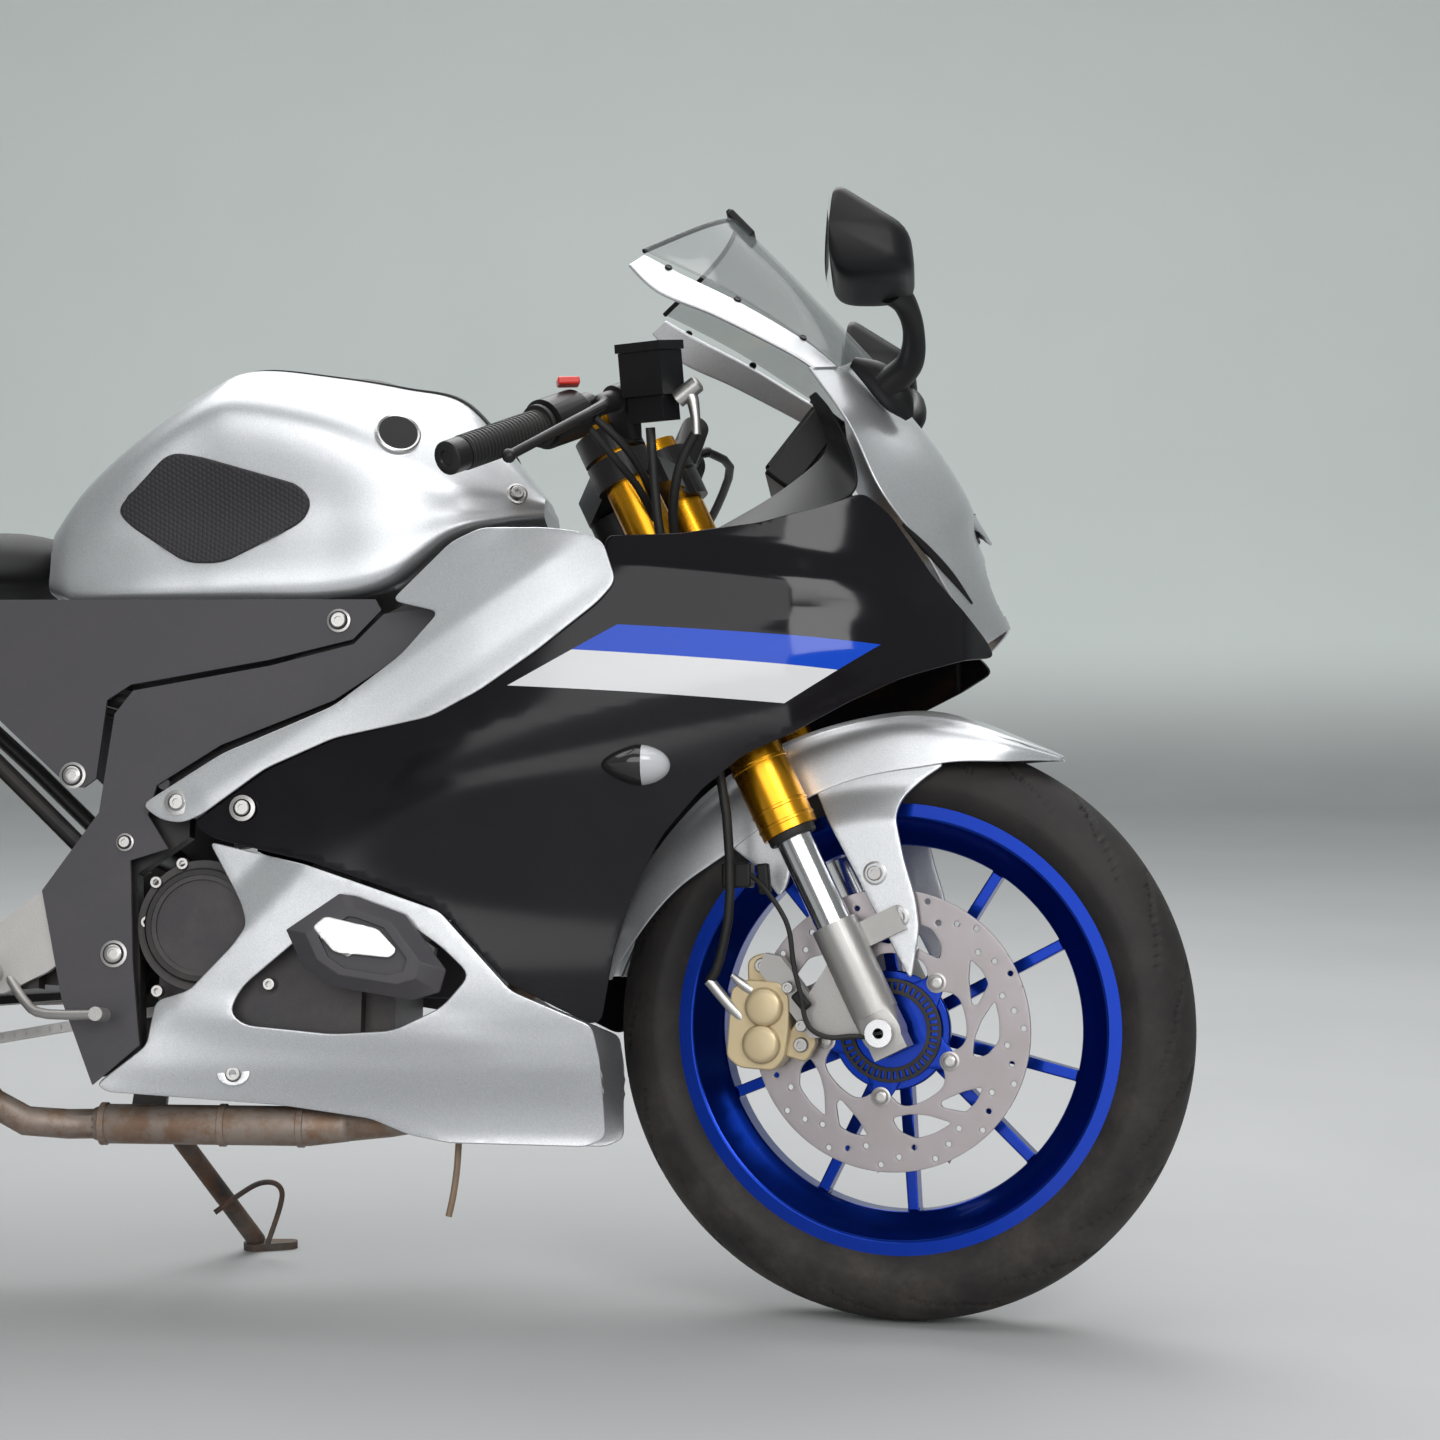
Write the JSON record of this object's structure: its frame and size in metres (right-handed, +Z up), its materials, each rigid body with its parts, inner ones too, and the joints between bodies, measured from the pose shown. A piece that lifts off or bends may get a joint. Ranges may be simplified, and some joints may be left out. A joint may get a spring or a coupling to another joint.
{
  "type": "motorcycle",
  "caption": "Small faired sport motorcycle with silver and black bodywork, blue cast wheels and gold fork, parked on its side stand with the bars turned",
  "frame": {"origin": "centre of the bounding box on the floor, with the motorcycle parked on its side stand", "axes": "+X forward along the motorcycle, +Y to the rider's left, +Z up"},
  "size_m": [1.9886, 0.7287, 1.1352],
  "materials": {
    "silver_paint": "metallic gloss",
    "black_gloss": "gloss",
    "grey_plastic": "fine grain",
    "black_plastic": "fine grain",
    "blue_paint": "metallic gloss",
    "gold_anodised": "anodised",
    "chromed_steel": "polished",
    "cast_alloy": "as cast",
    "black_metal": "satin",
    "steel": "ground",
    "heated_steel": "heat stained",
    "tyre_rubber": "dusty",
    "rubber": "matt",
    "seat_cover": "woven grain",
    "clear_screen": "smoked clear",
    "lamp_lens": "clear",
    "red_lens": "clear red",
    "bronze_paint": "satin",
    "engine_metal": "satin"
  },
  "bodies": {
    "chassis": {"frame": "black_metal", "subframe": "black_metal", "engine": "engine_metal", "engine_covers": "engine_metal", "radiator": "engine_metal", "exhaust_pipe": "heated_steel", "muffler": "engine_metal", "fuel_tank": "silver_paint", "tank_trim": "black_plastic", "rider_seat": "seat_cover", "pillion_seat": "seat_cover", "tail_cowl": "silver_paint", "tail_lamp": "red_lens", "rear_fender": "black_plastic", "rear_indicators": "black_plastic", "side_covers": "grey_plastic", "frame_covers": "grey_plastic", "shoulder_panels": "silver_paint", "side_fairings": "black_gloss", "belly_pan": "silver_paint", "intake_ducts": "grey_plastic", "nose_cowl": "silver_paint", "windscreen": "clear_screen", "headlamp": "lamp_lens", "inner_cowl": "black_plastic", "cowl_stay": "black_metal", "instrument": "black_plastic", "mirrors": "black_gloss", "front_indicators": "black_plastic", "swingarm": "black_metal", "rear_shock": "engine_metal", "chain": "steel", "rear_caliper": "bronze_paint", "rearsets": "cast_alloy", "hugger": "black_plastic"},
    "steering": {"fork_clamps": "black_metal", "fork_tubes": "gold_anodised", "fork_sliders": "chromed_steel", "fork_feet": "cast_alloy", "front_axle": "chromed_steel", "front_fender": "silver_paint", "handlebars": "black_metal", "grips": "rubber", "levers": "black_plastic", "brake_reservoir": "black_plastic", "front_caliper": "bronze_paint", "brake_hose": "rubber"},
    "front_wheel": {"front_rim": "blue_paint", "front_disc": "steel", "front_tyre": "tyre_rubber"},
    "rear_wheel": {"rear_rim": "blue_paint", "rear_disc": "steel", "rear_sprocket": "steel", "rear_tyre": "tyre_rubber"},
    "side_stand": {"side_stand": "black_metal"}
  },
  "joints": [
    {"name": "steer", "type": "hinge", "parent": "chassis", "child": "steering", "pos_m": [0.44502, -0.02881, 0.71605], "axis": [-0.4305, 0.1722, 0.886], "range_deg": [-21, 45]},
    {"name": "front_wheel_spin", "type": "hinge", "parent": "steering", "child": "front_wheel", "pos_m": [0.70265, -0.12086, 0.2948], "axis": [0.1877, 0.9773, -0.0988], "continuous": true},
    {"name": "rear_wheel_spin", "type": "hinge", "parent": "chassis", "child": "rear_wheel", "pos_m": [-0.6205, -0.10784, 0.3095], "axis": [0, 0.9816, -0.1908], "continuous": true},
    {"name": "stand_swing", "type": "hinge", "parent": "chassis", "child": "side_stand", "pos_m": [-0.098, -0.02546, 0.18826], "axis": [-0.2015, 0.9692, 0.1412], "range_deg": [0, 110]}
  ]
}
